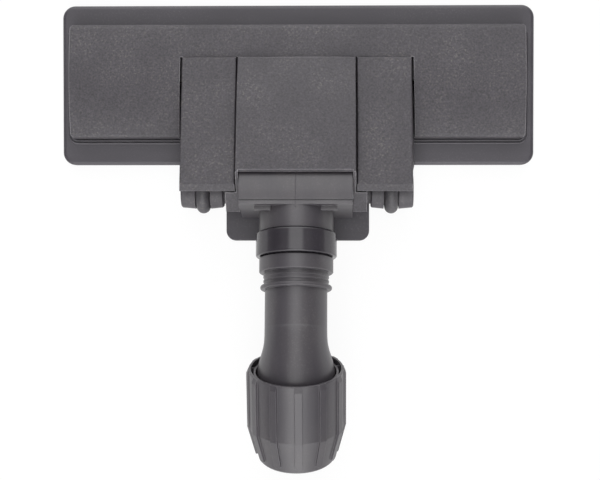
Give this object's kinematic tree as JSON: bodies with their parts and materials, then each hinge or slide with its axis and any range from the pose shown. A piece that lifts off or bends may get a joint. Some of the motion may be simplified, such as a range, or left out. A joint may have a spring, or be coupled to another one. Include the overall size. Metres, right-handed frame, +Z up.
{
  "type": "vacuum floor brush head",
  "caption": "Wide floor head for a vacuum cleaner with a rocking foot pedal, drop-down brush, rear wheels, tilting and swivelling neck and a clamp nut for the tube",
  "frame": {"origin": "middle of the head's sole, on the floor", "axes": "+X to the head's right, +Y to its front edge, +Z up from the floor; the neck leaves towards -Y"},
  "size_m": [0.27, 0.2636, 0.0638],
  "materials": {
    "grained_shell": "fine moulded grain",
    "housing_plastic": "satin moulded",
    "neck_plastic": "satin moulded",
    "collar_plastic": "glossy moulded",
    "wheel_plastic": "satin moulded",
    "tyre_rubber": "soft moulded",
    "inner_plastic": "plain moulded",
    "bristle_nylon": "cut filament",
    "lint_pile": "directional pile",
    "plated_steel": "zinc plated"
  },
  "bodies": {
    "head": {"base_housing": "housing_plastic", "top_shell": "grained_shell", "neck_hood": "grained_shell", "lift_spring_left": "plated_steel", "lift_spring_right": "plated_steel", "lint_strip_left": "lint_pile", "lint_strip_right": "lint_pile", "housing_screws": "plated_steel", "neck_pin_left": "plated_steel", "neck_pin_right": "plated_steel", "wheel_axle_left": "plated_steel", "wheel_axle_right": "plated_steel", "axle_clip_left": "plated_steel", "axle_clip_right": "plated_steel"},
    "pedal": {"left_tread": "grained_shell", "right_tread": "grained_shell", "pedal_shaft": "plated_steel"},
    "brush": {"brush_carrier": "inner_plastic", "front_brush_back": "inner_plastic", "rear_brush_back": "inner_plastic", "front_bristles": "bristle_nylon", "rear_bristles": "bristle_nylon"},
    "neck": {"yoke": "neck_plastic", "swivel_seal": "tyre_rubber", "swivel_collar": "collar_plastic"},
    "elbow": {"elbow": "neck_plastic", "collet": "inner_plastic"},
    "ring": {"clamp_ring": "inner_plastic"},
    "nut": {"clamp_nut": "neck_plastic"},
    "wheel_left": {"wheel_hub_left": "wheel_plastic", "wheel_tyre_left": "tyre_rubber"},
    "wheel_right": {"wheel_hub_right": "wheel_plastic", "wheel_tyre_right": "tyre_rubber"}
  },
  "joints": [
    {"name": "neck_tilt", "type": "hinge", "parent": "head", "child": "neck", "pos_m": [0, -0.062, 0.027], "axis": [-1, 0, 0], "range_deg": [0, 46]},
    {"name": "elbow_swivel", "type": "hinge", "parent": "neck", "child": "elbow", "pos_m": [0, -0.06242, 0.02504], "axis": [0, -0.9781, 0.2079], "continuous": true},
    {"name": "ring_slide", "type": "slide", "parent": "elbow", "child": "ring", "axis": [0, 0.9537, 0.3007], "range_m": [0, 0.00401]},
    {"name": "nut_turn", "type": "hinge", "parent": "ring", "child": "nut", "pos_m": [0, -0.14497, 0.04259], "axis": [0, 0.9537, 0.3007], "range_deg": [0, 360]},
    {"name": "pedal_rock", "type": "hinge", "parent": "head", "child": "pedal", "pos_m": [0, 0.0175, 0.01795], "axis": [1, 0, 0], "range_deg": [0, 6]},
    {"name": "brush_drop", "type": "slide", "parent": "head", "child": "brush", "axis": [0, 0, -1], "range_m": [0, 0.00451], "deforming": ["lift_spring_left", "lift_spring_right"]},
    {"name": "wheel_spin_left", "type": "hinge", "parent": "head", "child": "wheel_left", "pos_m": [-0.0535, -0.0605, 0.013], "axis": [1, 0, 0], "continuous": true},
    {"name": "wheel_spin_right", "type": "hinge", "parent": "head", "child": "wheel_right", "pos_m": [0.0535, -0.0605, 0.013], "axis": [1, 0, 0], "continuous": true}
  ],
  "couplings": [
    {"joint": "ring_slide", "follows": "nut_turn", "m_per_rad": 0.00063662},
    {"joint": "brush_drop", "follows": "pedal_rock", "m_per_rad": 0.043}
  ]
}
